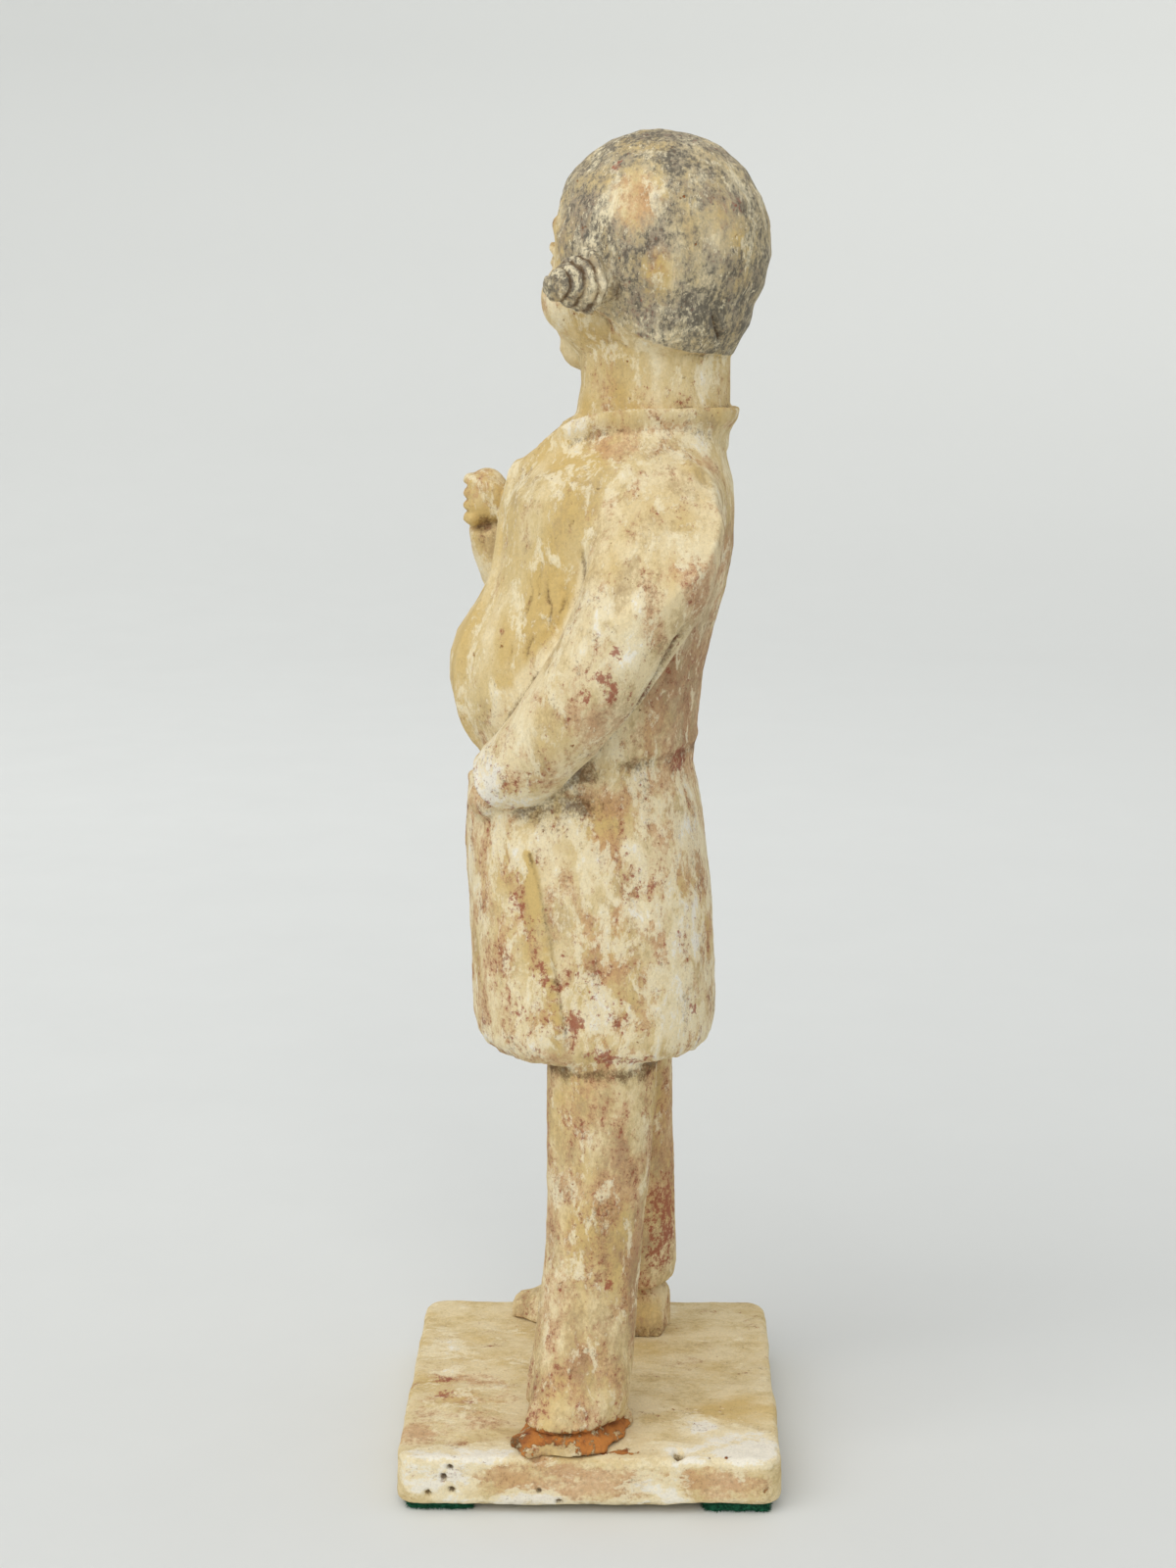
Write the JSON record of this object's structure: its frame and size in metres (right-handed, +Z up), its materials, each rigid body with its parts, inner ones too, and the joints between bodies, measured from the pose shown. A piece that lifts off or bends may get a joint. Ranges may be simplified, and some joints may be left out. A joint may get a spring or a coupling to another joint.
{
  "type": "pottery standing figure",
  "caption": "Hollow pottery attendant standing in a long belted coat and trousers, one fist raised and one hand at the waist, on a thin clay slab with felt pads.",
  "frame": {"origin": "on the ground, under the middle of the slab", "axes": "+Z up; the figure's chest faces -Y and its own left side is +X"},
  "size_m": [0.103, 0.0974, 0.3412],
  "materials": {
    "painted_pottery": "low-fired clay under a matt ochre and cream slip, worn, with traces of red pigment and dark painted hair",
    "slab_pottery": "low-fired clay under a matt ochre and cream slip, chipped and stained",
    "green_felt": "dense green felt with a fuzzy edge"
  },
  "bodies": {
    "root": {"figure": "painted_pottery", "plinth": "slab_pottery", "felt_pad_front_left": "green_felt", "felt_pad_front_right": "green_felt", "felt_pad_back_left": "green_felt", "felt_pad_back_right": "green_felt"}
  },
  "joints": []
}
